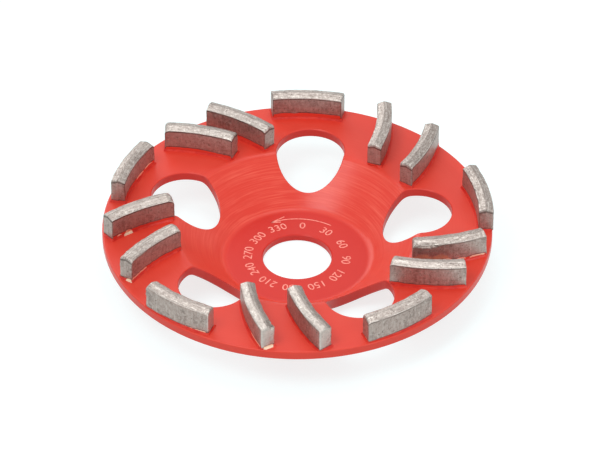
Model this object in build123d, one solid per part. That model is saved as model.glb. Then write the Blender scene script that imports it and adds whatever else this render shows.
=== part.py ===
from build123d import *
from math import cos, degrees, radians, tan
import os

# Diamond cup wheel: a dished steel body with fifteen curved grinding segments brazed
# to its flat rim. Millimetres, +Z towards the segments, origin on the bore's axis in
# the plane of the hub's back face. The first window is centred on +Y.

# Body, a disc dished by one cone between a flat hub and a flat rim
wheel_diameter = 125.0
rim_width = 23.6
bore_diameter = 22.2
hub_thickness = 2.6
web_thickness = 2.9
rim_thickness = 3.1
dish_depth = 12.6
cone_angle = 40.0
hub_corner_radius = 3.0
rim_corner_radius = 3.0
back_hub_radius = 4.0
back_rim_radius = 5.0
rim_edge_radius = 0.5
bore_chamfer = 0.3

# Round windows through the cone and the rim, one to a group of segments
group_count = 5
first_window_angle = 90.0
window_diameter = 22.2
window_centre_to_rim_edge = 23.0
window_edge_break = 0.3

# One segment, an arc in plan with a low ridge along its top
segment_length = 23.6
segment_width = 4.8
segment_side_height = 7.9
segment_ridge_height = 8.8
segment_arc_radius = 58.0
segment_edge_break = 0.4

# Places of a group's segments: angles are from the window, round the wheel
rim_edge_margin = 0.8
rim_segment_angle = 1.5
swept_end_margin = 1.5
leading_segment_angle = -27.5
trailing_segment_angle = -46.0
sweep_angle = 30.0

# Brazing: a thin film under each segment and a sloping bead round its foot
braze_film = 0.15
bead_width = 0.4
bead_height = 0.5
bead_edge = 0.1

# The segments were set by hand, so each lies a little off its mark:
# millimetres outward, degrees round the wheel, degrees turned
rim_drift = [(-0.5, 1.5, 0.5), (-0.5, -0.5, -0.5), (0.0, 2.0, 3.5), (0.0, 1.0, 2.0), (0.5, -4.0, 3.0)]
leading_drift = [(0.0, 0.5, -5.5), (0.0, 0.0, 8.5), (-0.5, 0.5, -4.0), (0.0, 1.0, -8.0), (0.0, -3.0, 1.5)]
trailing_drift = [(0.5, 0.0, 0.0), (0.0, 1.5, 7.5), (0.0, -2.5, -0.5), (0.5, 1.0, 1.5), (-0.5, -0.5, 1.0)]

wheel_radius = wheel_diameter / 2
bore_radius = bore_diameter / 2
window_circle_radius = wheel_radius - window_centre_to_rim_edge
slope = tan(radians(cone_angle))
rim_face_height = hub_thickness + dish_depth
back_rim_height = rim_face_height - rim_thickness
cone_outer_radius = wheel_radius - rim_width
hub_face_radius = cone_outer_radius - dish_depth / slope
web_drop = web_thickness / cos(radians(cone_angle))
back_cone_inner_radius = hub_face_radius + (web_drop - hub_thickness) / slope
back_cone_outer_radius = cone_outer_radius + (web_drop - rim_thickness) / slope
flat_rim_start = cone_outer_radius + rim_corner_radius * tan(radians(cone_angle / 2))
rim_segment_radius = wheel_radius - rim_edge_margin - segment_width / 2
swept_segment_radius = (
    wheel_radius - swept_end_margin - segment_length / 2 * cos(radians(sweep_angle))
)
group_angles = [first_window_angle + 360 / group_count * k for k in range(group_count)]


def corner(sketch, r, z):
    """The sketch's vertex at radius r and height z."""
    return sketch.vertices().sort_by_distance(Vector(r, 0, z))[0]


def window_cutters(radius):
    """Upright cylinders at the windows, longer than the body is deep."""
    cutter = Cylinder(radius, 4 * rim_face_height)
    return [
        Rot(0, 0, angle) * Pos(window_circle_radius, 0, rim_face_height / 2) * cutter
        for angle in group_angles
    ]


def window_rims(body):
    """The body's edges round both mouths of each window."""
    centres = [
        (Rot(0, 0, angle) * Pos(window_circle_radius, 0, 0)).position
        for angle in group_angles
    ]
    rims = []
    for edge in body.edges().filter_by(GeomType.LINE, reverse=True):
        middle = edge @ 0.5
        reach = min((middle - Vector(c.X, c.Y, middle.Z)).length for c in centres)
        if abs(reach - window_diameter / 2) < 0.01:
            rims.append(edge)
    return rims


def make_body():
    """The half section turned about the axis, then bored by the windows."""
    outline = Plane.XZ * make_face(
        Polyline(
            (bore_radius, 0),
            (back_cone_inner_radius, 0),
            (back_cone_outer_radius, back_rim_height),
            (wheel_radius, back_rim_height),
            (wheel_radius, rim_face_height),
            (cone_outer_radius, rim_face_height),
            (hub_face_radius, hub_thickness),
            (bore_radius, hub_thickness),
            close=True,
        ).edges()
    )
    rounds = [
        (back_cone_inner_radius, 0, back_hub_radius),
        (back_cone_outer_radius, back_rim_height, back_rim_radius),
        (cone_outer_radius, rim_face_height, rim_corner_radius),
        (hub_face_radius, hub_thickness, hub_corner_radius),
        (wheel_radius, back_rim_height, rim_edge_radius),
        (wheel_radius, rim_face_height, rim_edge_radius),
    ]
    for r, z, radius in rounds:
        outline = fillet(corner(outline, r, z), radius)
    for z in (0, hub_thickness):
        outline = chamfer(corner(outline, bore_radius, z), bore_chamfer)
    body = revolve(outline, Axis.Z)
    for cutter in window_cutters(window_diameter / 2):
        body -= cutter
    return chamfer(window_rims(body), window_edge_break)


def make_segment():
    """One segment standing on z = 0, its middle at the origin and its bulge towards +Y."""
    half = segment_width / 2
    section = Plane.XZ * make_face(
        Polyline(
            (segment_arc_radius - half, 0),
            (segment_arc_radius + half, 0),
            (segment_arc_radius + half, segment_side_height),
            (segment_arc_radius, segment_ridge_height),
            (segment_arc_radius - half, segment_side_height),
            close=True,
        ).edges()
    )
    span = degrees(segment_length / segment_arc_radius)
    block = Rot(0, 0, 90 - span / 2) * revolve(section, Axis.Z, revolution_arc=span)
    block = Pos(0, -segment_arc_radius, 0) * block
    above_foot = block.edges().filter_by(lambda edge: edge.center().Z > segment_edge_break)
    worn = above_foot.sort_by(Axis.Z)[:-1]  # all but the ridge
    return chamfer(worn, segment_edge_break)


def foot_outline(grow):
    """The segment's outline in plan, grown outwards all round."""
    outer = segment_arc_radius + segment_width / 2 + grow
    inner = segment_arc_radius - segment_width / 2 - grow
    half_span = degrees((segment_length / 2 + grow) / segment_arc_radius)
    outer_arc = CenterArc((0, 0), outer, 90 - half_span, 2 * half_span)
    inner_arc = CenterArc((0, 0), inner, 90 - half_span, 2 * half_span)
    ends = [Line(outer_arc @ t, inner_arc @ t) for t in (0, 1)]
    return Pos(0, -segment_arc_radius) * make_face([outer_arc, inner_arc] + ends)


def make_bead():
    """The film under a segment and the sloping bead round its foot, standing on z = 0."""
    crest = braze_film + bead_height
    bead = loft([foot_outline(bead_width), Pos(0, 0, crest) * foot_outline(bead_edge)])
    return bead - Pos(0, 0, braze_film) * make_segment()


def make_brazed_rim():
    """The space over the rim's flat, clear of the windows, that brazing can fill."""
    edge = wheel_radius - rim_edge_radius
    ring = extrude(Circle(edge) - Circle(flat_rim_start), 2 * bead_height)
    space = Pos(0, 0, rim_face_height) * ring
    for cutter in window_cutters(window_diameter / 2 + window_edge_break):
        space -= cutter
    return space


def rim_place(window_angle, drift):
    """Where a segment that follows the rim's edge stands."""
    out, along, turn = drift
    place = Rot(0, 0, window_angle + rim_segment_angle + along)
    return place * Pos(rim_segment_radius + out, 0, rim_face_height) * Rot(0, 0, turn - 90)


def swept_place(window_angle, segment_angle, drift):
    """Where a segment that sweeps in from the rim to the cone stands."""
    out, along, turn = drift
    place = Rot(0, 0, window_angle + segment_angle + along)
    heading = 180 + sweep_angle + turn
    return place * Pos(swept_segment_radius + out, 0, rim_face_height) * Rot(0, 0, heading)


places = {}
for k, window_angle in enumerate(group_angles):
    drift = k % len(rim_drift)
    places[f"rim_segment_{k + 1}"] = rim_place(window_angle, rim_drift[drift])
    places[f"leading_segment_{k + 1}"] = swept_place(
        window_angle, leading_segment_angle, leading_drift[drift]
    )
    places[f"trailing_segment_{k + 1}"] = swept_place(
        window_angle, trailing_segment_angle, trailing_drift[drift]
    )

segment = Pos(0, 0, braze_film) * make_segment()
bead = make_bead()
brazed_rim = make_brazed_rim()

os.makedirs("parts", exist_ok=True)
export_step(make_body(), "parts/wheel_body.step")
for name, place in places.items():
    braze_name = name.replace("segment", "braze")
    export_step(place * segment, f"parts/{name}.step")
    export_step(brazed_rim & (place * bead), f"parts/{braze_name}.step")
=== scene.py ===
import math

import bpy
import numpy as np
from mathutils import Euler, Matrix, Vector


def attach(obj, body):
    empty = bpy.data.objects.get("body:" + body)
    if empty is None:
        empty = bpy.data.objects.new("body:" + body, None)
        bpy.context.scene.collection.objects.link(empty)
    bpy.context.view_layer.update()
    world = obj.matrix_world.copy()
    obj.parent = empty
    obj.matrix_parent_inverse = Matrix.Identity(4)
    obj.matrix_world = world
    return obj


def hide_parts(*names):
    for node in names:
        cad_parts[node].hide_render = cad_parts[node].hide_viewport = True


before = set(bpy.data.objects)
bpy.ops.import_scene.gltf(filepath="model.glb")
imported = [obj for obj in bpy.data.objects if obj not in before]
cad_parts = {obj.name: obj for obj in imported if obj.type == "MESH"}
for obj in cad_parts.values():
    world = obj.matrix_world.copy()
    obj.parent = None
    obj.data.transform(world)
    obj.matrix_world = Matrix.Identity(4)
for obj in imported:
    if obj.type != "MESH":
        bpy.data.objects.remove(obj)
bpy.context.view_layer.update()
print("frame loaded")

mm = 0.001


# one socket of a node tree, so that sums of sockets read like sums
class Wire:
    def __init__(self, graph, socket):
        self.graph = graph
        self.socket = socket

    def maths(self, operation, *others):
        return self.graph.add("ShaderNodeMath", {"operation": operation}, [self, *others])

    def __add__(self, other):
        return self.maths("ADD", other)

    def __sub__(self, other):
        return self.maths("SUBTRACT", other)

    def __mul__(self, other):
        return self.maths("MULTIPLY", other)

    def __truediv__(self, other):
        return self.maths("DIVIDE", other)

    def __pow__(self, other):
        return self.maths("POWER", other)

    def __neg__(self):
        return self.maths("MULTIPLY", -1)

    def __rsub__(self, other):
        return self.graph.add("ShaderNodeMath", {"operation": "SUBTRACT"}, [other, self])

    def __rtruediv__(self, other):
        return self.graph.add("ShaderNodeMath", {"operation": "DIVIDE"}, [other, self])

    __radd__ = __add__
    __rmul__ = __mul__

    def high(self, other):
        return self.maths("MAXIMUM", other)

    def low(self, other):
        return self.maths("MINIMUM", other)

    def size(self):
        return self.maths("ABSOLUTE")

    def ramp(self, start, end, first=0.0, last=1.0):  # an eased step, in either direction
        settings = {"interpolation_type": "SMOOTHSTEP"}
        values = {
            "Value": self,
            "From Min": start,
            "From Max": end,
            "To Min": first,
            "To Max": last,
        }
        return self.graph.add("ShaderNodeMapRange", settings, values)


# one node tree, for a material or for geometry
class Graph:
    def __init__(self, tree):
        self.tree = tree
        self.nodes = tree.nodes

    def add(self, kind, settings=None, values=None, out=0):
        node = self.nodes.new(kind)
        for name, value in (settings or {}).items():
            setattr(node, name, value)
        pairs = values.items() if isinstance(values, dict) else enumerate(values or [])
        for key, value in pairs:
            self.feed(node.inputs[key], value)
        return Wire(self, node.outputs[out])

    def feed(self, socket, value):
        if isinstance(value, Wire):
            self.tree.links.new(value.socket, socket)
        elif value is not None:
            socket.default_value = value

    def vector(self, operation, *values, out=0):
        return self.add("ShaderNodeVectorMath", {"operation": operation}, list(values), out)

    def join(self, x, y, z):
        return self.add("ShaderNodeCombineXYZ", None, [x, y, z])

    def split(self, vector):
        node = self.nodes.new("ShaderNodeSeparateXYZ")
        self.feed(node.inputs[0], vector)
        return [Wire(self, socket) for socket in node.outputs]

    def noise(self, place, scale, detail=2.0, rough=0.5, seed=None):
        settings = None
        values = {"Vector": place, "Scale": scale, "Detail": detail, "Roughness": rough}
        if seed is not None:
            settings = {"noise_dimensions": "4D"}
            values["W"] = seed
        return self.add("ShaderNodeTexNoise", settings, values)

    def mix(self, share, first, second):  # colours, by a 0 to 1 share
        node = self.nodes.new("ShaderNodeMix")
        node.data_type = "RGBA"
        self.feed(node.inputs[0], share)
        self.feed(node.inputs[6], first)
        self.feed(node.inputs[7], second)
        return Wire(self, node.outputs[2])


def colour(red, green, blue):  # screen colour, 0 to 255, as the light value that a shader wants
    steps = [value / 255 for value in (red, green, blue)]
    return [s / 12.92 if s <= 0.04045 else ((s + 0.055) / 1.055) ** 2.4 for s in steps] + [1.0]


def newMaterial(name):
    material = bpy.data.materials.new(name)
    material.use_nodes = True
    material.node_tree.nodes.clear()
    return material, Graph(material.node_tree)


def finishMaterial(graph, values, bump=None, bumpHeight=0.0):
    shader = graph.nodes.new("ShaderNodeBsdfPrincipled")
    for name, value in values.items():
        graph.feed(shader.inputs[name], value)
    if bump is not None:
        relief = {"Strength": 1.0, "Distance": bumpHeight, "Height": bump}
        graph.feed(shader.inputs["Normal"], graph.add("ShaderNodeBump", None, relief))
    output = graph.nodes.new("ShaderNodeOutputMaterial")
    graph.tree.links.new(shader.outputs[0], output.inputs[0])


def layColours(graph, base, coats):  # one over another, each by its share
    for share, coat in coats:
        base = graph.mix(share, base, coat)
    return base


def storeLabel(graph, mesh, name, value, kind="FLOAT"):  # kept on each point, for the materials
    settings = {"data_type": kind, "domain": "POINT"}
    values = {"Geometry": mesh, "Name": name, "Value": value}
    return graph.add("GeometryNodeStoreNamedAttribute", settings, values)


def readLabel(graph, name, out="Fac"):
    return graph.add("ShaderNodeAttribute", {"attribute_name": name}, out=out)


# one segment, an arc in plan with a low ridge, its edges worn round
segmentShape = {
    "Length": 23.6 * mm,
    "Width": 4.8 * mm,
    "Side Height": 7.9 * mm,
    "Ridge Height": 8.8 * mm,
    "Arc Radius": 58.0 * mm,
    "Edge Round": 0.3 * mm,
    "Outer Roll": 0.5 * mm,  # the length of the top's fall at its two ends
    "Inner Roll": 1.2 * mm,
    "Pitting": 0.07 * mm,
    "Seed": 0.0,
    "Chip Along": 0.0,
    "Chip Across": 0.0,
    "Chip Length": 1.0 * mm,
    "Chip Reach": 1.0 * mm,
    "Chip Depth": 0.0,
    "Inner Paint": 1.1 * mm,  # how high the red climbs the hollow side, and the bulging one
    "Outer Paint": 1.1 * mm,
    "Shade": 0.05,  # how far the top darkens towards the pit colour, 0 to 1
    "Edge Line": 1.0,  # how dark the line under the top's edges is, 0 to 1; where it is low, the ends are painted brighter
    "Slope Contrast": 0.0,  # painted light and shade: above 0 the top's bulging slope is painted the bright one, below 0 the other
}
segmentSurface = {
    "cuts": (90, 20, 30),  # faces along, across and up
    "crowding": 0.55,  # how far the cuts draw towards the edges, 0 to 1
    "endClimb": 0.3,  # the red's climb on the ends, as a share of the sides'
    "edgeScale": 300.0,  # the unevenness of the rounding, and its range
    "edgeRange": (0.4, 2.0),
    "ridgeSoftness": 0.008,
    "ridgeLevel": 1.09,  # makes up for the softness, so that the ridge keeps its height
    "pitScale": 1100.0,
    "swellScale": 220.0,
    "swellSeed": 7.3,  # sets the swells apart from the pits
    "pitBase": 0.5,  # how far the surface sinks between the pits, times Pitting
    "chipRaggedness": 1.6,
    "pitStart": 0.6 * mm,  # the height over the foot at which the pits reach their depth
}


def standOf(node):
    # where a packed segment stands: the middle of its arc, its bulge towards the place's +Y
    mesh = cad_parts[node].data
    flat = np.empty(len(mesh.vertices) * 3)
    mesh.vertices.foreach_get("co", flat)
    points = np.unique(np.round(flat.reshape(-1, 3), 6), axis=0)
    plan = points[:, :2]
    middle = plan.mean(axis=0)
    axes = np.linalg.eigh(np.cov((plan - middle).T))[1]
    chord = axes[:, 1]
    side = np.array([-chord[1], chord[0]])
    along = (plan - middle) @ chord
    across = (plan - middle) @ side
    inside = np.abs(along) < 0.5 * np.abs(along).max()
    if across[inside].mean() < across[~inside].mean():
        chord, side, along, across = -chord, -side, -along, -across
    centre = middle + chord * (along.max() + along.min()) / 2
    centre = centre + side * (across.max() - segmentShape["Width"] / 2)
    turned = Matrix(((chord[0], side[0], 0), (chord[1], side[1], 0), (0, 0, 1))).to_4x4()
    return Matrix.Translation((centre[0], centre[1], points[:, 2].min())) @ turned


def makeSegmentTree():
    tree = bpy.data.node_groups.new("wornSegment", "GeometryNodeTree")
    graph = Graph(tree)
    tree.interface.new_socket("Geometry", in_out="OUTPUT", socket_type="NodeSocketGeometry")
    tree.interface.new_socket("Geometry", in_out="INPUT", socket_type="NodeSocketGeometry")
    for name, value in segmentShape.items():
        socket = tree.interface.new_socket(name, in_out="INPUT", socket_type="NodeSocketFloat")
        socket.default_value = value
    tree.interface.new_socket("Material", in_out="INPUT", socket_type="NodeSocketMaterial")
    entry = graph.nodes.new("NodeGroupInput")
    given = {socket.name: Wire(graph, socket) for socket in entry.outputs if socket.name}

    # a block of -1 to 1, its cuts drawn towards the edges, its points labelled for the looks
    counts = [cut + 1 for cut in segmentSurface["cuts"]]
    block = graph.add("GeometryNodeMeshCube", None, [(2.0, 2.0, 2.0), *counts])
    crowding = segmentSurface["crowding"]
    x, y, z = [
        (1 - crowding) * axis + crowding * (axis * (math.pi / 2)).maths("SINE")
        for axis in graph.split(graph.add("GeometryNodeInputPosition"))
    ]
    share = graph.join(x, y, (z + 1) * 0.5)
    block = storeLabel(graph, block, "segmentPlace", share, "FLOAT_VECTOR")
    onBulge = y.ramp(-0.1, 0.1)
    climb = given["Inner Paint"] + onBulge * (given["Outer Paint"] - given["Inner Paint"])
    climb = climb * x.size().ramp(0.96, 0.99, 1.0, segmentSurface["endClimb"])
    labels = {
        "paintClimb": climb,
        "wornShade": given["Shade"],
        "edgeLine": given["Edge Line"],
        "slopeContrast": given["Slope Contrast"],
    }
    for name, value in labels.items():
        block = storeLabel(graph, block, name, value)

    # edges rounded by an uneven amount
    halfLength = given["Length"] * 0.5
    halfWidth = given["Width"] * 0.5
    x, y, z = x * halfLength, y * halfWidth, (z + 1) * 0.5 * given["Side Height"]
    uneven = graph.noise(graph.join(x, y, z), segmentSurface["edgeScale"], 3.0, seed=given["Seed"])
    rounding = given["Edge Round"] * uneven.ramp(0.25, 0.8, *segmentSurface["edgeRange"])
    innerX = x.high(rounding - halfLength).low(halfLength - rounding)
    innerY = y.high(rounding - halfWidth).low(halfWidth - rounding)
    innerZ = z.low(given["Side Height"] - rounding)
    offX, offY, offZ = x - innerX, y - innerY, z - innerZ
    longest = offX.size().high(offY.size()).high(offZ.size())
    reach = (offX * offX + offY * offY + offZ * offZ) ** 0.5
    pull = longest / reach.high(1e-9)  # never divides by 0
    x, y, z = innerX + offX * pull, innerY + offY * pull, innerZ + offZ * pull

    # the ridge, and the top's fall at the ends
    rise = given["Ridge Height"] - given["Side Height"]
    fromRidge = ((y * y) / (halfWidth * halfWidth) + segmentSurface["ridgeSoftness"]) ** 0.5
    z = z * (1 + rise / given["Side Height"] * (segmentSurface["ridgeLevel"] - fromRidge))
    for roll, end in ((given["Inner Roll"], x), (given["Outer Roll"], -x)):
        past = ((end - halfLength) / roll + 1).high(0.0).low(0.99)  # short of upright
        fall = roll * (1 - (1 - past * past) ** 0.5)
        z = z * (1 - fall / given["Ridge Height"])

    # bent to the arc
    turn = x / given["Arc Radius"]
    out = given["Arc Radius"] + y
    bent = graph.join(out * turn.maths("SINE"), out * turn.maths("COSINE") - given["Arc Radius"], z)
    shaped = graph.add("GeometryNodeSetPosition", None, {"Geometry": block, "Position": bent})

    # pits, swells and the chip, all sunk into the surface
    here = graph.add("GeometryNodeInputPosition")
    rough = graph.noise(here, segmentSurface["pitScale"], 2.0, 0.6, given["Seed"])
    swellSeed = given["Seed"] + segmentSurface["swellSeed"]
    swell = graph.noise(here, segmentSurface["swellScale"], seed=swellSeed)
    settings = {"data_type": "FLOAT_VECTOR"}
    place = graph.add("GeometryNodeInputNamedAttribute", settings, ["segmentPlace"])
    placeX, placeY, placeZ = graph.split(place)
    chipX = (placeX * halfLength - given["Chip Along"]) / given["Chip Length"]
    chipY = (placeY * halfWidth - given["Chip Across"]) / given["Chip Reach"]
    chipZ = (placeZ - 1) * given["Side Height"] / given["Chip Reach"]
    fromChip = (chipX * chipX + chipY * chipY + chipZ * chipZ) ** 0.5
    chip = (fromChip + (rough - 0.5) * segmentSurface["chipRaggedness"]).ramp(1.0, 0.6)
    pits = (rough - 0.5) * 1.4 - rough.ramp(0.42, 0.3)
    sunk = given["Pitting"] * (pits + (swell - 0.5) * 1.6 - segmentSurface["pitBase"])
    height = graph.split(here)[2]
    sunk = sunk * height.ramp(0.0, segmentSurface["pitStart"]) - chip * given["Chip Depth"]
    offset = graph.vector("SCALE", graph.add("GeometryNodeInputNormal"))
    graph.feed(offset.socket.node.inputs["Scale"], sunk)
    pitted = graph.add("GeometryNodeSetPosition", None, {"Geometry": shaped, "Offset": offset})
    values = {"Geometry": pitted, "Shade Smooth": True}
    smooth = graph.add("GeometryNodeSetShadeSmooth", None, values)
    real = graph.add("GeometryNodeRealizeInstances", None, {"Geometry": smooth})
    values = {"Geometry": real, "Material": given["Material"]}
    coated = graph.add("GeometryNodeSetMaterial", None, values)
    leave = graph.nodes.new("NodeGroupOutput")
    tree.links.new(coated.socket, leave.inputs[0])
    return tree


def grow(name, tree, values):  # a plain mesh object made by a geometry tree
    seed = bpy.data.objects.new(name + "Seed", bpy.data.meshes.new(name + "Seed"))
    bpy.context.scene.collection.objects.link(seed)
    modifier = seed.modifiers.new("tree", "NODES")
    modifier.node_group = tree
    inputs = [item for item in tree.interface.items_tree if item.in_out == "INPUT"]
    sockets = {item.name: item.identifier for item in inputs}
    for key, value in values.items():
        modifier[sockets[key]] = value
    seed.update_tag()
    view = bpy.context.evaluated_depsgraph_get()
    mesh = bpy.data.meshes.new_from_object(seed.evaluated_get(view))
    bpy.data.objects.remove(seed)
    piece = bpy.data.objects.new(name, mesh)
    bpy.context.scene.collection.objects.link(piece)
    return piece


# the red enamel over the turned steel
enamel = {
    "paint": colour(223, 60, 43),
    "pale": colour(240, 104, 84),
    "deep": colour(206, 34, 26),
    "hubRed": colour(200, 0, 0),  # painted shade: the hub's purer, deeper red, and its share
    "hubShadeShare": 0.5,
    "wallShadeShare": 0.6,  # painted shade: the deep red's share on the windows' walls
    "roughness": 0.38,
    "gloss": 0.42,
    "cornerWidth": 0.6 * mm,
    "marksPerMm": 2.4,  # fine turning marks
    "markBreaks": 2.2,  # how often one breaks up round the wheel
    "broadWidth": 0.23,  # broad marks, measured against the fine ones
    "broadBreaks": 0.9,
    "markHeight": 0.016 * mm,
    "frontMarkHighlight": 0.35,  # painted highlight: the marks' strength on the side of -Y, where +Y has 1, so that they show brighter where the highlight falls
    "mottleScale": 90.0,
    "hubRadius": 23.9 * mm,
    "coneRadius": 38.9 * mm,
    "windows": 5,
    "windowCircle": 39.5 * mm,  # radius through the windows' centres
    "windowRadius": 11.1 * mm,
    "fineLift": 0.8,  # how far each lightens the red, from pale at 0.5 to deep at -0.5
    "broadLift": 0.2,
    "mottleLift": 0.25,
    # painted light: the rim and the cone painted paler, as where more light and sheen fall, and a
    # painted highlight as a pale line round the hub's corner
    "rimLift": 0.14,
    "coneSheen": 0.22,
    "cornerHighlight": 0.08,
    "wholeLift": -0.10,
}


def turningMarks(graph, x, y, radius):
    # streaks that follow circles round the bore, broken up along their length, and their strength
    # round the wheel, a painted highlight that is strongest on the +Y side
    turnX, turnY = x / radius, y / radius
    across = radius * (enamel["marksPerMm"] / mm)
    breaks = enamel["markBreaks"]
    fine = graph.noise(graph.join(across, turnX * breaks, turnY * breaks), 1.0, 3.0, 0.6)
    across, breaks = across * enamel["broadWidth"], enamel["broadBreaks"]
    broad = graph.noise(graph.join(across, turnX * breaks, turnY * breaks), 1.0)
    return fine, broad, turnY.ramp(-0.1, 0.65, enamel["frontMarkHighlight"], 1.0)


def windowWalls(graph, x, y, radius):
    # 1 on the walls of the windows, all of them turned onto the first one
    turns = x.maths("ARCTAN2", y) * (enamel["windows"] / math.tau)
    folded = (turns + 0.5).maths("FRACT") - 0.5
    angle = folded * (math.tau / enamel["windows"])
    aside = radius * angle.maths("SINE")
    ahead = radius * angle.maths("COSINE") - enamel["windowCircle"]
    away = (aside * aside + ahead * ahead) ** 0.5
    return away.ramp(enamel["windowRadius"] + 0.2 * mm, enamel["windowRadius"] + 0.05 * mm)


def makeEnamel():
    material, graph = newMaterial("redEnamel")
    place = graph.add("ShaderNodeTexCoord", out="Object")
    x, y = graph.split(place)[:2]
    radius = (x * x + y * y) ** 0.5
    fine, broad, markHighlight = turningMarks(graph, x, y, radius)
    mottle = graph.noise(place, enamel["mottleScale"], 3.0)
    hub, cone = enamel["hubRadius"], enamel["coneRadius"]
    onHub = radius.ramp(hub, hub - 2 * mm)
    onCone = radius.ramp(hub - 1 * mm, hub + 1 * mm) * radius.ramp(cone + 1 * mm, cone - 1 * mm)
    onRim = radius.ramp(cone - 1 * mm, cone + 2 * mm)
    corner = (radius - hub).size().ramp(enamel["cornerWidth"], 0.0)
    # partly painted highlight: the marks' colour is strongest on the cone's +Y side, where the
    # highlight falls
    strength = onCone * markHighlight * 0.8 + 0.2
    lift = (fine - 0.5) * enamel["fineLift"] + (broad - 0.5) * enamel["broadLift"]
    lift = lift * strength + (mottle - 0.5) * enamel["mottleLift"]
    # painted light on the rim and the cone, and a painted highlight at the hub's corner
    lift = lift + onRim * enamel["rimLift"] + onCone * enamel["coneSheen"]
    lift = lift + enamel["wholeLift"] + corner * enamel["cornerHighlight"]
    base = layColours(graph, enamel["paint"], [
        (lift.ramp(0.0, 0.5), enamel["pale"]),
        (lift.ramp(0.0, -0.5), enamel["deep"]),
        # painted shade: the hub, down in the dish, painted a deeper, purer red
        (onHub * enamel["hubShadeShare"], enamel["hubRed"]),
        # painted shade: the windows' walls painted a deeper red
        (windowWalls(graph, x, y, radius) * enamel["wallShadeShare"], enamel["deep"]),
    ])
    roughness = enamel["roughness"] + lift * 0.12 - onCone * 0.09
    values = {"Base Color": base, "Roughness": roughness, "Specular IOR Level": enamel["gloss"]}
    finishMaterial(graph, values, fine * strength, enamel["markHeight"])
    return material


# where the brazing shows bare, as a thin line over the paint: a segment, millimetres along and
# across it, the patch's reach and how far it lifts the line
bareLines = [
    ("trailing_segment_3", -8.6, -2.4, 1.4, 0.0),
    ("leading_segment_3", -10.0, -2.4, 3.0, 0.0),
    ("leading_segment_3", -5.6, -2.4, 2.4, 0.0),
    ("trailing_segment_4", -7.8, 2.4, 4.0, 0.0),
    ("rim_segment_3", -9.8, 2.4, 2.6, 0.5),
    ("rim_segment_3", -5.4, 2.4, 1.8, 0.3),
    ("rim_segment_2", 2.4, -2.4, 3.0, 0.0),
    ("rim_segment_2", 7.6, -2.4, 2.8, 0.2),
    ("rim_segment_4", 11.6, -0.6, 1.0, 0.5),
    ("leading_segment_5", -9.0, 2.4, 3.2, 0.0),
    ("leading_segment_5", -3.5, 2.4, 2.0, 0.3),
    ("leading_segment_5", 1.5, 2.4, 2.6, 0.9),
]
bareLumps = [  # and as lumps that spread over the foot
    ("trailing_segment_3", -5.2, -2.4, 1.6, 0.6),
    ("leading_segment_3", -11.8, -2.4, 1.0, 0.5),
    ("trailing_segment_4", -11.8, -1.4, 2.1, 0.4),
]
stains = [  # brown heat stains over the foot of one segment
    ("leading_segment_5", 9.0, 2.4, 5.0, 0.0),
    ("leading_segment_5", 3.4, 2.4, 4.2, 0.0),
]

# the segments' metal, with the paint, brass and stains at its foot
sintered = {
    "metal": colour(170, 154, 146),
    "worn": colour(176, 165, 158),  # the top, which grinds
    "bright": colour(244, 240, 232),
    "pit": colour(104, 92, 86),
    "edge": colour(84, 70, 64),
    "brass": colour(246, 226, 198),
    "stain": colour(214, 154, 122),
    "scorch": colour(98, 74, 66),
    "metallic": 0.78,
    "roughness": 0.45,
    "grainScale": 2800.0,  # fine grain, clouds, slow drift, pits and the paint's lumps
    "cloudScale": 1000.0,
    "driftScale": 160.0,
    "pitScale": 1700.0,
    "lumpScale": 500.0,
    "bumpHeight": 0.05 * mm,
    "paintHeight": 15.55 * mm,  # where the paint starts to climb, and its unevenness
    "paintRise": 0.5 * mm,
    "paintFade": 0.12 * mm,  # half the width of the paint's upper border
    "topWaves": (2.2, 5.0, 12.0),  # streaks on the top: waves along, across and by the drift
    "sideWaves": (16.0, 5.0, 1.4),  # and on the sides: along, across and up
    "topBrightShare": 0.5,  # how strongly each colours the metal, 0 to 1
    "topDarkShare": 0.6,
    "sideStreakShare": 0.2,
    "pitShare": 0.6,
    # painted highlight and painted shade on the top's two slopes
    "slopeHighlightShare": 0.16,
    "slopeShadeShare": 0.5,
    "ridgeShare": 0.4,
    "edgeLineShare": 0.9,
    "endLightShare": 0.35,
    "scorchShare": 0.9,
}


def nearPatches(graph, place, patches, ragged):
    # 1 near the patches' places and 0 away from them, and the height that they climb there
    near, climb = None, None
    for node, along, across, reach, rise in patches:
        centre = standOf(node) @ Vector((along * mm, across * mm, 0))
        away = graph.vector("DISTANCE", place, centre, out=1) + (ragged - 0.5) * (2.0 * mm)
        here = away.ramp(reach * mm, reach * 0.8 * mm)
        near = here if near is None else near.high(here)
        climb = here * rise if climb is None else climb.high(here * rise)
    return near, climb


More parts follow.
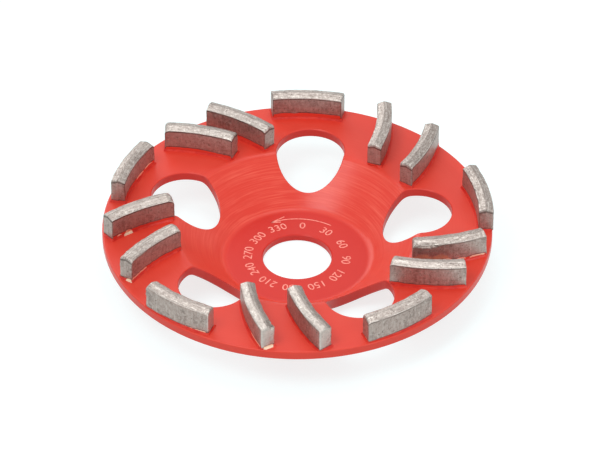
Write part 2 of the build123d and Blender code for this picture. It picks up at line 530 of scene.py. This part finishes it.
def makeSintered():
    material, graph = newMaterial("sinteredMetal")
    bright, pit, edge = sintered["bright"], sintered["pit"], sintered["edge"]
    place = graph.add("ShaderNodeTexCoord", out="Object")
    along, across, height = graph.split(readLabel(graph, "segmentPlace", "Vector"))
    edgeLine = readLabel(graph, "edgeLine")
    litSlope = across * readLabel(graph, "slopeContrast")
    grain = graph.noise(place, sintered["grainScale"], 3.0, 0.7)
    cloud = graph.noise(place, sintered["cloudScale"], 4.0, 0.65)
    drift = graph.noise(place, sintered["driftScale"])
    pits = graph.noise(place, sintered["pitScale"], 1.0).ramp(0.36, 0.27)
    top = height.ramp(0.965, 0.995)
    sides = 1 - top

    # the faces: flecks, streaks along the top and up the sides, dull clouds and pits, and painted
    # light and shade on the top's two slopes
    worn = graph.mix(readLabel(graph, "wornShade"), sintered["worn"], pit)
    flecks = (grain * 0.6 + cloud * 0.4).ramp(0.48, 0.66)
    waves = [axis * count for axis, count in zip((along, across, drift), sintered["topWaves"])]
    streaks = graph.noise(graph.join(*waves), 1.0, 3.0, 0.6)
    waves = [axis * count for axis, count in zip((along, across, height), sintered["sideWaves"])]
    upright = graph.noise(graph.join(*waves), 1.0, 2.0, 0.6)
    dull = (cloud * 0.65 + drift * 0.35).ramp(0.54, 0.32) * (0.6 - top * 0.25)
    ridge = top * across.size().ramp(0.14, 0.02) * cloud.ramp(0.35, 0.55)
    base = layColours(graph, sintered["metal"], [
        (top, worn),
        (flecks * (top * 0.25 + 0.22), bright),
        (top * streaks.ramp(0.5, 0.72) * sintered["topBrightShare"], bright),
        (top * streaks.ramp(0.48, 0.26) * sintered["topDarkShare"], pit),
        (dull, pit),
        (sides * upright.ramp(0.5, 0.75) * sintered["sideStreakShare"], bright),
        (sides * upright.ramp(0.46, 0.25) * sintered["sideStreakShare"], pit),
        (pits * sintered["pitShare"], pit),
        # painted light and shade: one slope of the top painted bright, the other dark
        (top * litSlope.ramp(0.0, 0.3) * sintered["slopeHighlightShare"], bright),
        (top * litSlope.ramp(-0.05, -0.4) * sintered["slopeShadeShare"], pit),
        (ridge * sintered["ridgeShare"], pit),
    ])

    # the edges: a dark line under the top's, dark upright ones, painted light on the ends without
    # the line, and painted highlights along the top's edges and corners
    onEnd = along.size().ramp(0.97, 0.995)
    onSide = across.size().ramp(0.9, 0.99).high(onEnd)
    darkEdge = onSide * height.ramp(0.89, 0.945) * height.ramp(0.995, 0.965)
    darkPlaces = (cloud * 0.5 + drift * 0.5).ramp(0.36, 0.56).high(onEnd * 0.7)
    endLight = onEnd * sides * (1 - edgeLine)  # painted light: ends without the line are painted brighter
    corner = along.size().ramp(0.965, 0.99) * across.size().ramp(0.9, 0.98)
    # painted highlight: the top's edges and the upright corners painted pale, as where they catch
    # the light
    topEdge = top * across.size().ramp(0.9, 0.98)
    edgeHighlight = (corner * (1 - edgeLine * 0.9)).high(topEdge) * grain.ramp(0.3, 0.6)
    base = layColours(graph, base, [
        (darkEdge * darkPlaces * edgeLine * sintered["edgeLineShare"], edge),
        (endLight * sintered["endLightShare"], bright),
        (corner * sides * edgeLine * drift.ramp(0.3, 0.6, 0.25, 0.7), edge),
        (edgeHighlight * drift.ramp(0.35, 0.65, 0.0, 0.5), bright),
    ])

    # the foot: paint that climbs it, brazing left bare, stains of heat and a painted shade line
    lumps = graph.noise(place, sintered["lumpScale"], 3.0)
    onLine, lift = nearPatches(graph, place, bareLines, lumps)
    onLump, lumpLift = nearPatches(graph, place, bareLumps, lumps)
    heated = nearPatches(graph, place, stains, lumps)[0]
    climbed = readLabel(graph, "paintClimb") + lift.high(lumpLift) * mm
    climbed = climbed * (drift * 0.8 + 0.6)
    overPaint = graph.split(place)[2] - sintered["paintHeight"] - climbed
    overPaint = overPaint - (lumps - 0.5) * sintered["paintRise"]
    foot = overPaint.ramp(sintered["paintFade"], -sintered["paintFade"])
    # painted shade: a dark line just above the paint's border, as a contact shade at the segment's
    # foot
    footShade = overPaint.ramp(0.5 * mm, 0.1 * mm) * drift.ramp(0.3, 0.6, 0.3, 0.8)
    brown = heated * height.ramp(0.85, 0.45) * (cloud.ramp(0.3, 0.6) * 0.4 + 0.5)
    line = onLine * overPaint.ramp(-0.75 * mm, -0.5 * mm)
    bare = foot * onLine.ramp(0.4, 0.6) * line.high(onLump)
    painted = foot * (1 - bare.high(onLump))
    base = layColours(graph, base, [
        (heated * height.ramp(0.5, 0.8) * sides * sintered["scorchShare"], sintered["scorch"]),
        (brown, sintered["stain"]),
        (footShade, edge),
        (foot, enamel["paint"]),
        (bare.high(onLump * foot), sintered["brass"]),
    ])
    values = {
        "Base Color": base,
        "Metallic": (1 - painted) * (1 - brown * 0.7) * sintered["metallic"],
        "Roughness": sintered["roughness"] + (grain - 0.5) * 0.3 + pits * 0.2,
    }
    finishMaterial(graph, values, grain + cloud * 0.8 - pits, sintered["bumpHeight"])
    return material


# the brazing round the segments' feet, painted over but for the bare lumps
braze = {
    "fineScale": 1400.0,
    "bareMetallic": 0.2,
    "roughness": 0.44,
    "bumpHeight": 0.12 * mm,
}


def makeBraze():
    material, graph = newMaterial("paintedBraze")
    place = graph.add("ShaderNodeTexCoord", out="Object")
    lumps = graph.noise(place, sintered["lumpScale"], 3.0)
    fine = graph.noise(place, braze["fineScale"])
    bare = nearPatches(graph, place, bareLumps, lumps)[0].ramp(0.0, 0.5)
    base = graph.mix(lumps.ramp(0.3, 0.7), enamel["deep"], enamel["paint"])
    values = {
        "Base Color": graph.mix(bare, base, sintered["brass"]),
        "Metallic": bare * braze["bareMetallic"],
        "Roughness": braze["roughness"] + (fine - 0.5) * 0.3,
    }
    finishMaterial(graph, values, lumps + fine * 0.5, braze["bumpHeight"])
    return material


redEnamel = makeEnamel()
sinteredMetal = makeSintered()
paintedBraze = makeBraze()
print("materials made")


def dress(node, material):
    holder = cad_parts[node]
    for slot in holder.material_slots:
        slot.material = material


# what sets single segments apart from the rest
segmentWear = {
    "rim_segment_1": {
        "Inner Roll": 0.6 * mm,
        "Inner Paint": 1.7 * mm,
        "Outer Paint": 0.2 * mm,
        "Shade": 0.15,
    },
    "leading_segment_1": {"Shade": 0.25},
    "trailing_segment_1": {"Shade": 0.38},
    "rim_segment_2": {
        "Inner Roll": 2.2 * mm,
        "Inner Paint": 1.6 * mm,
        "Outer Paint": 0.2 * mm,
        "Shade": 0.3,
    },
    "leading_segment_2": {
        "Inner Roll": 0.8 * mm,
        "Outer Roll": 1.6 * mm,
        "Shade": 0.15,
        "Slope Contrast": -0.2,
    },
    "trailing_segment_2": {"Shade": 0.18, "Slope Contrast": -0.2},
    "rim_segment_3": {
        "Edge Round": 0.7 * mm,
        "Outer Paint": 0.1 * mm,
        "Shade": 0.0,
        "Edge Line": 0.1,
    },
    "trailing_segment_3": {"Inner Roll": 2.4 * mm},
    "leading_segment_3": {"Edge Round": 0.5 * mm, "Inner Roll": 1.6 * mm, "Outer Roll": 0.9 * mm},
    "rim_segment_4": {"Outer Paint": 0.1 * mm, "Shade": 0.0, "Edge Line": 0.7},
    "leading_segment_4": {
        "Edge Round": 0.5 * mm,
        "Outer Roll": 1.0 * mm,
        "Outer Paint": 0.3 * mm,
        "Edge Line": 0.25,
        "Slope Contrast": 0.8,
    },
    "trailing_segment_4": {
        "Edge Round": 0.5 * mm,
        "Outer Roll": 1.2 * mm,
        "Slope Contrast": 0.8,
        "Edge Line": 0.25,
        "Chip Along": -10.2 * mm,
        "Chip Across": -1.6 * mm,
        "Chip Length": 1.7 * mm,
        "Chip Reach": 1.6 * mm,
        "Chip Depth": 0.55 * mm,
    },
    "rim_segment_5": {"Inner Paint": 0.9 * mm, "Outer Paint": 0.2 * mm, "Shade": 0.25},
    "leading_segment_5": {
        "Edge Line": 0.7,
        "Chip Along": 7.2 * mm,
        "Chip Across": 2.4 * mm,
        "Chip Length": 4.4 * mm,
        "Chip Reach": 0.9 * mm,
        "Chip Depth": 0.5 * mm,
        "Shade": 0.15,
    },
    "trailing_segment_5": {"Outer Paint": 0.8 * mm, "Edge Line": 0.7},
}

families = ("rim", "leading", "trailing")  # the three segments of a group
groupCount = 5
seedStep = 3.7  # gives each segment pits of its own

segmentTree = makeSegmentTree()
for index in range(groupCount * len(families)):
    group, family = divmod(index, len(families))
    node = f"{families[family]}_segment_{group + 1}"
    values = dict(segmentShape, Seed=index * seedStep, Material=sinteredMetal)
    values.update(segmentWear.get(node, {}))
    piece = grow(node.replace("_", "") + "Worn", segmentTree, values)
    piece.data.transform(standOf(node))
    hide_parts(node)
    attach(piece, "root")
    dress(node.replace("segment", "braze"), paintedBraze)
dress("wheel_body", redEnamel)
print("segments made")


# the plain dial and the turning arrow on the hub
dial = {
    "height": 2.62 * mm,  # the middle of the marks' depth, just above the hub's face
    "depth": 0.03 * mm,
    "radius": 14.4 * mm,  # to the foot of the figures
    "size": 4.2 * mm,
    "step": 30,  # degrees from one number to the next
    "ink": colour(255, 172, 158),
    "thinInk": colour(240, 120, 104),
    "inkScale": 1800.0,
    "roughness": 0.5,
}
arrow = {
    "radius": 19.2 * mm,
    "start": 61.5,  # degrees
    "tip": 122.4,
    "steps": 24,
    "barb": 14.4,  # degrees back along the arc
    "barbOut": 1.5 * mm,
    "barbIn": 0.9 * mm,
    "innerShort": 0.35,  # how much shorter the inner barb is, 0 to 1
    "stroke": 0.34 * mm,
}


def makeInk():
    material, graph = newMaterial("paleEngraving")
    place = graph.add("ShaderNodeTexCoord", out="Object")
    worn = graph.noise(place, dial["inkScale"], 3.0)
    base = graph.mix(worn.ramp(0.3, 0.6), dial["thinInk"], dial["ink"])
    finishMaterial(graph, {"Base Color": base, "Roughness": dial["roughness"] + worn * 0.2})
    return material


paleEngraving = makeInk()


def makeNumber(value, angle):
    curve = bpy.data.curves.new(f"number{value}", "FONT")
    curve.body = str(value)
    curve.size = dial["size"]
    curve.align_x = "CENTER"
    curve.extrude = dial["depth"] / 2
    holder = bpy.data.objects.new(f"number{value}", curve)
    bpy.context.scene.collection.objects.link(holder)
    view = bpy.context.evaluated_depsgraph_get()
    view.update()
    mesh = bpy.data.meshes.new_from_object(holder.evaluated_get(view))
    bpy.data.objects.remove(holder)
    turned = Matrix.Rotation(math.radians(angle - 90), 4, "Z")
    mesh.transform(turned @ Matrix.Translation((0, dial["radius"], dial["height"])))
    return mesh


def joinMeshes(name, meshes, material):
    corners, faces = [], []
    for mesh in meshes:
        start = len(corners)
        corners += [tuple(vertex.co) for vertex in mesh.vertices]
        faces += [[start + index for index in face.vertices] for face in mesh.polygons]
    joined = bpy.data.meshes.new(name)
    joined.from_pydata(corners, [], faces)
    joined.materials.append(material)
    piece = bpy.data.objects.new(name, joined)
    bpy.context.scene.collection.objects.link(piece)
    return piece


def makeStroke(path):
    # a flat bar of even width along points on the hub, closed at both ends
    half = arrow["stroke"] / 2
    low, high = dial["height"] - dial["depth"] / 2, dial["height"] + dial["depth"] / 2
    corners = []
    for index, point in enumerate(path):
        ahead = path[min(index + 1, len(path) - 1)] - path[max(index - 1, 0)]
        side = Vector((-ahead.y, ahead.x)).normalized() * half
        left, right = point - side, point + side
        corners += [(left.x, left.y, low), (right.x, right.y, low)]
        corners += [(right.x, right.y, high), (left.x, left.y, high)]
    faces = [(0, 1, 2, 3), tuple(len(corners) - 1 - k for k in range(4))]
    for row in range(len(path) - 1):
        for k in range(4):
            a, b = 4 * row + k, 4 * row + (k + 1) % 4
            faces.append((b, a, a + 4, b + 4))
    mesh = bpy.data.meshes.new("stroke")
    mesh.from_pydata(corners, [], faces)
    return mesh


def hubPoint(radius, angle):
    return Vector((math.cos(math.radians(angle)), math.sin(math.radians(angle)))) * radius


def makeArrow():
    tip = hubPoint(arrow["radius"], arrow["tip"])
    steps, span = arrow["steps"], arrow["tip"] - arrow["start"]
    shaft = [hubPoint(arrow["radius"], arrow["start"] + span * k / steps) for k in range(steps + 1)]
    back = arrow["tip"] - arrow["barb"]
    outer = hubPoint(arrow["radius"] + arrow["barbOut"], back)
    inner = hubPoint(arrow["radius"] - arrow["barbIn"], back + arrow["barb"] * arrow["innerShort"])
    return [makeStroke(shaft), makeStroke([outer, tip]), makeStroke([tip, inner])]


numbers = [makeNumber(value, 90 - value) for value in range(0, 360, dial["step"])]
marks = joinMeshes("hubFigures", numbers + makeArrow(), paleEngraving)
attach(marks, "root")
print("hub marked")


# floor, light and camera
studio = {
    "floorSize": 12,
    "floorColour": (0.62, 0.62, 0.62, 1.0),
    "floorSeen": (0.25, 0.36, 0.37, 1.0),  # to the camera and in gloss, where the floor also glows
    "floorGlow": 0.765,
    "worldLight": 0.58,
}
lamps = {  # place, size across and power
    "key": ((-0.42, -0.50, 1.12), 0.6, 4.5),
    "top": ((0.05, 0.20, 1.25), 0.6, 2.8),
    "back": ((-0.60, 0.85, 0.62), 0.8, 3.0),
    "fill": ((0.90, -1.00, 0.55), 0.8, 4.0),
}


def seenDirectly(graph):  # 1 for what the camera and gloss see, 0 for the light on the object
    camera = graph.add("ShaderNodeLightPath", out="Is Camera Ray")
    return camera.high(graph.add("ShaderNodeLightPath", out="Is Glossy Ray"))


def makeFloor():
    bpy.ops.mesh.primitive_plane_add(size=studio["floorSize"])
    floor = bpy.context.object
    floor.name = "floor"
    material, graph = newMaterial("palePaper")
    seen = seenDirectly(graph)
    paper = graph.mix(seen, studio["floorColour"], studio["floorSeen"])
    matt = graph.add("ShaderNodeBsdfDiffuse", None, {"Color": paper})
    glow = graph.add("ShaderNodeEmission", None, {"Strength": seen * studio["floorGlow"]})
    both = graph.add("ShaderNodeAddShader", None, [matt, glow])
    output = graph.nodes.new("ShaderNodeOutputMaterial")
    graph.tree.links.new(both.socket, output.inputs[0])
    floor.data.materials.append(material)


def makeWorld():
    world = bpy.data.worlds.new("studio")
    bpy.context.scene.world = world
    world.use_nodes = True
    world.node_tree.nodes.clear()
    graph = Graph(world.node_tree)
    strength = seenDirectly(graph).ramp(0.0, 1.0, studio["worldLight"], 1.0)
    light = graph.add("ShaderNodeBackground", None, {"Color": (1, 1, 1, 1), "Strength": strength})
    output = graph.nodes.new("ShaderNodeOutputWorld")
    graph.tree.links.new(light.socket, output.inputs[0])


def makeLamp(name, place, size, power):
    lamp = bpy.data.lights.new(name, "AREA")
    lamp.shape = "DISK"
    lamp.size = size
    lamp.energy = power
    holder = bpy.data.objects.new(name, lamp)
    holder.location = place
    holder.rotation_euler = (-Vector(place)).to_track_quat("-Z", "Y").to_euler()
    bpy.context.scene.collection.objects.link(holder)


lens = {
    "place": (0.14409, -1.33286, 1.10190),
    "turn": (50.9827, -0.1419, 6.2479),
    "length": 323.274,
    "sensor": 36.0,
    "nearest": 0.05,  # metres
}


def makeCamera():
    camera = bpy.data.cameras.new("camera")
    camera.lens = lens["length"]
    camera.sensor_width = lens["sensor"]
    camera.clip_start = lens["nearest"]
    holder = bpy.data.objects.new("camera", camera)
    holder.location = lens["place"]
    holder.rotation_euler = Euler([math.radians(angle) for angle in lens["turn"]])
    bpy.context.scene.collection.objects.link(holder)
    bpy.context.scene.camera = holder


makeFloor()
makeWorld()
for name, (place, size, power) in lamps.items():
    makeLamp(name, place, size, power)
makeCamera()
bpy.context.scene.view_settings.view_transform = "Standard"
print("studio made")
